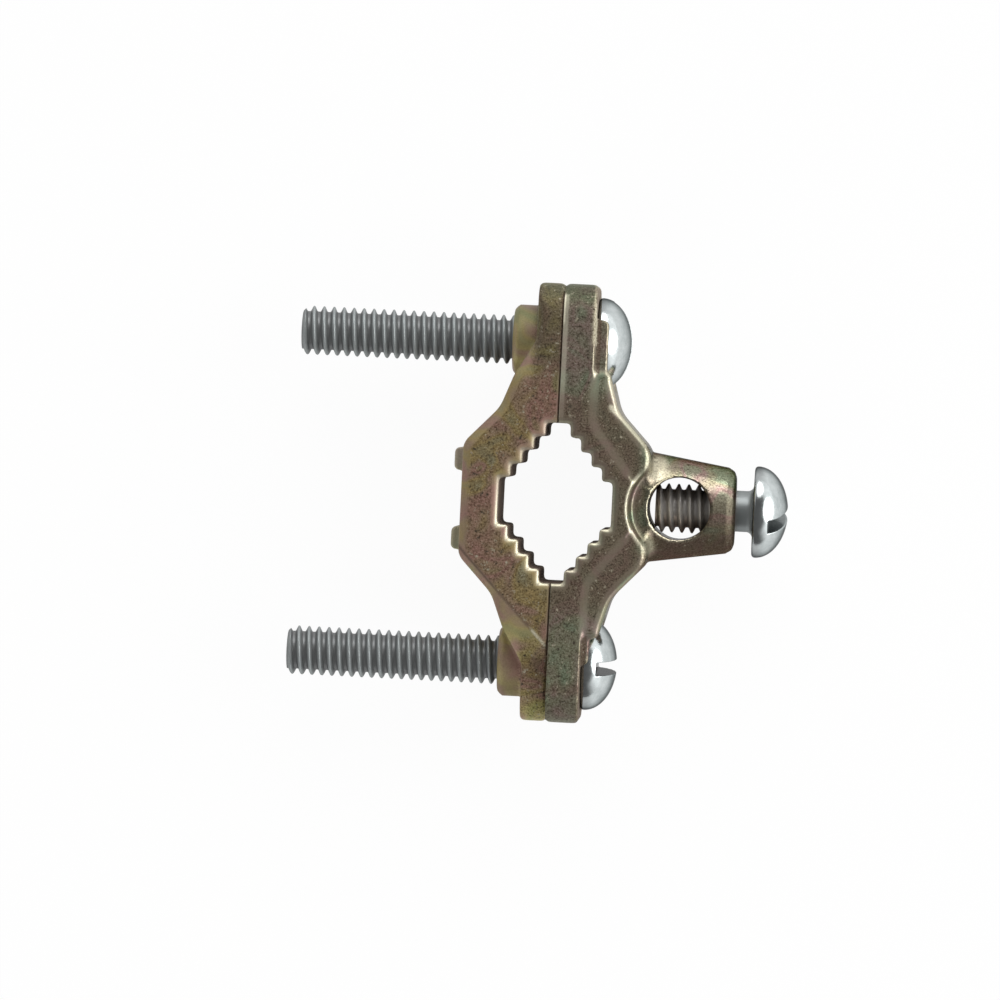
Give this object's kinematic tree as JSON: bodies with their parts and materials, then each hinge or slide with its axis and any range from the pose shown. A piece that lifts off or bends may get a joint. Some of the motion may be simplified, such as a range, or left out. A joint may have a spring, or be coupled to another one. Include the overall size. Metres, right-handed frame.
{
  "type": "grounding clamp",
  "caption": "Two-jaw pipe ground clamp with stepped gripping teeth, drawn together by slotted screws, with a round wire lug and its set screw.",
  "frame": {"origin": "on the pipe axis at the middle of the jaws' depth, where the two closed jaws meet", "axes": "+X through the wire lug towards the set screw's head, +Y towards the upper clamp screw, +Z along the pipe; the clamp lies on its side with -Z down"},
  "size_m": [0.0625, 0.0554, 0.016],
  "materials": {
    "jaw_casting": "die-cast zinc alloy with yellow chromate plating, satin",
    "screw_steel": "bright zinc-plated steel"
  },
  "bodies": {
    "lug_jaw": {"lug_jaw": "jaw_casting"},
    "tapped_jaw": {"tapped_jaw": "jaw_casting"},
    "upper_clamp_screw": {"upper_clamp_screw": "screw_steel"},
    "lower_clamp_screw": {"lower_clamp_screw": "screw_steel"},
    "set_screw": {"set_screw": "screw_steel"}
  },
  "joints": [
    {"name": "jaw_slide", "type": "slide", "parent": "lug_jaw", "child": "tapped_jaw", "axis": [-1, 0, 0], "range_m": [0, 0.026]},
    {"name": "upper_clamp_screw_spin", "type": "hinge", "parent": "lug_jaw", "child": "upper_clamp_screw", "pos_m": [0, 0.02035, 0], "axis": [1, 0, 0], "range_deg": [0, 7371]},
    {"name": "lower_clamp_screw_spin", "type": "hinge", "parent": "lug_jaw", "child": "lower_clamp_screw", "pos_m": [0, -0.02035, 0], "axis": [1, 0, 0], "range_deg": [0, 7371]},
    {"name": "set_screw_travel", "type": "slide", "parent": "lug_jaw", "child": "set_screw", "axis": [1, 0, 0], "range_m": [0, 0.0073]}
  ],
  "couplings": [
    {"joint": "upper_clamp_screw_spin", "follows": "jaw_slide", "rad_per_m": 4947.4},
    {"joint": "lower_clamp_screw_spin", "follows": "jaw_slide", "rad_per_m": 4947.4}
  ]
}
